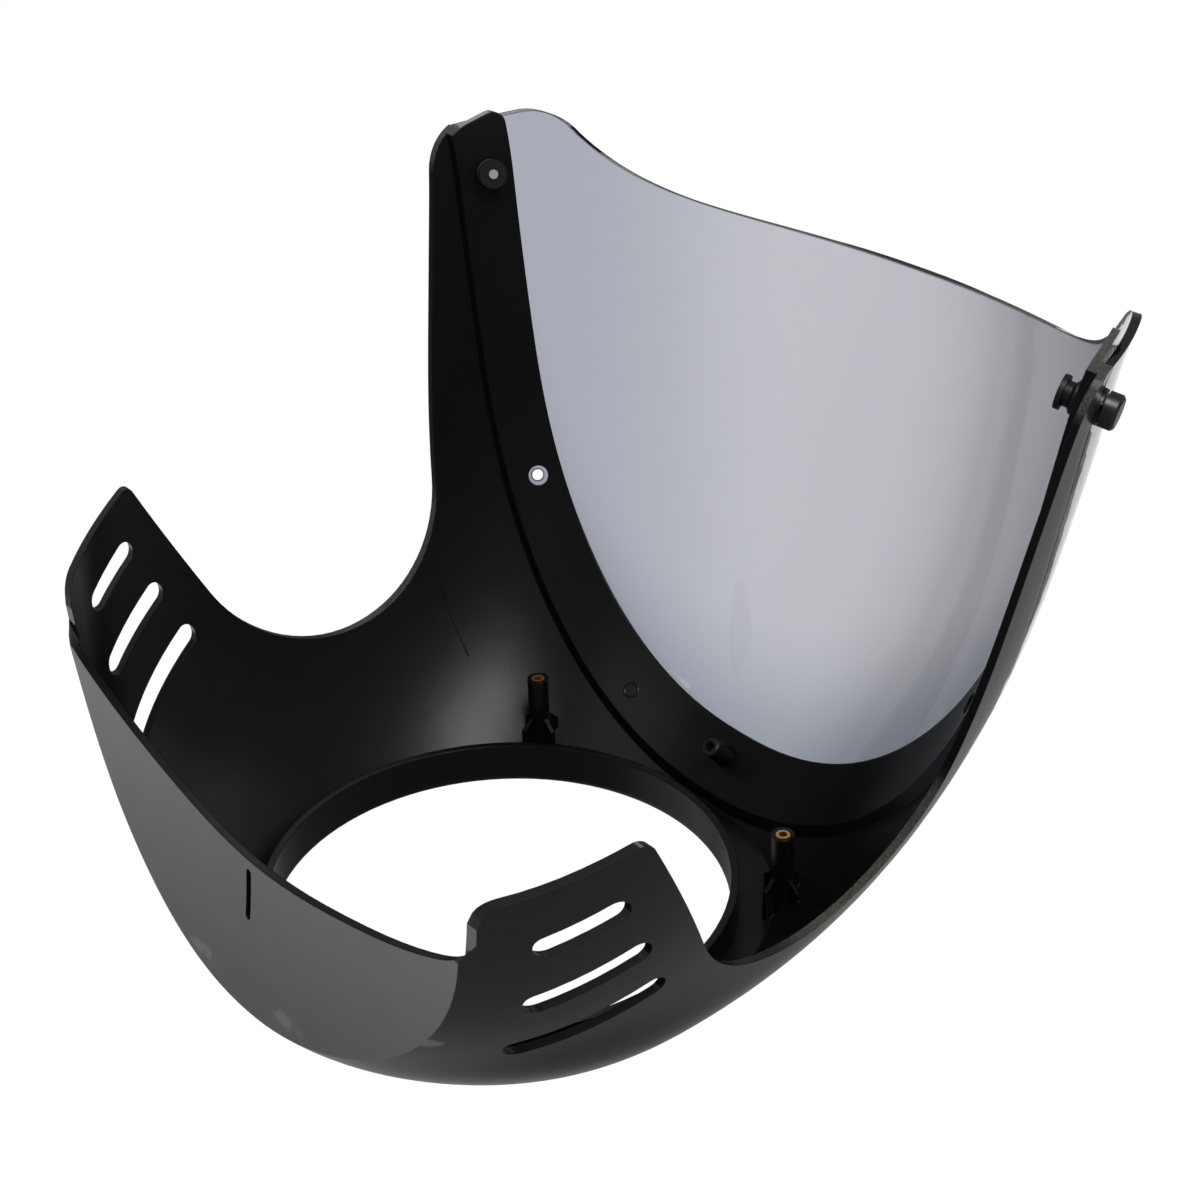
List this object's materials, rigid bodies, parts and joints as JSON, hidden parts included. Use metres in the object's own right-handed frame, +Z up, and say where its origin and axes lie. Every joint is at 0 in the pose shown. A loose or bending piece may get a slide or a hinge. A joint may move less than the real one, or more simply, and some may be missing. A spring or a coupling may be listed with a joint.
{
  "type": "motorcycle headlight fairing with windscreen",
  "caption": "Gloss black headlight fairing with a round lamp opening, slotted side wings and long arms, carrying a smoked clear windscreen on rubber well nuts.",
  "frame": {"origin": "centre of the headlight opening, on the plane of its rear rim", "axes": "+X to the rider's left, +Y back towards the rider along the opening's axis, +Z up, as mounted on the motorcycle"},
  "size_m": [0.3424, 0.2512, 0.3296],
  "materials": {
    "shell": "black moulding, glossy outside and softer inside",
    "screen": "smoked clear sheet, polished",
    "screws": "black coated",
    "well_nuts": "black rubber",
    "brass": "turned brass"
  },
  "bodies": {
    "root": {"fairing_shell": "shell", "windscreen": "screen", "screen_screw_left": "screws", "screen_screw_right": "screws", "screen_screw_lower": "screws", "well_nut_left": "well_nuts", "well_nut_right": "well_nuts", "well_nut_lower": "well_nuts", "nut_sleeve_left": "brass", "nut_sleeve_right": "brass", "nut_sleeve_lower": "brass", "boss_insert_left": "brass", "boss_insert_right": "brass"}
  },
  "joints": []
}
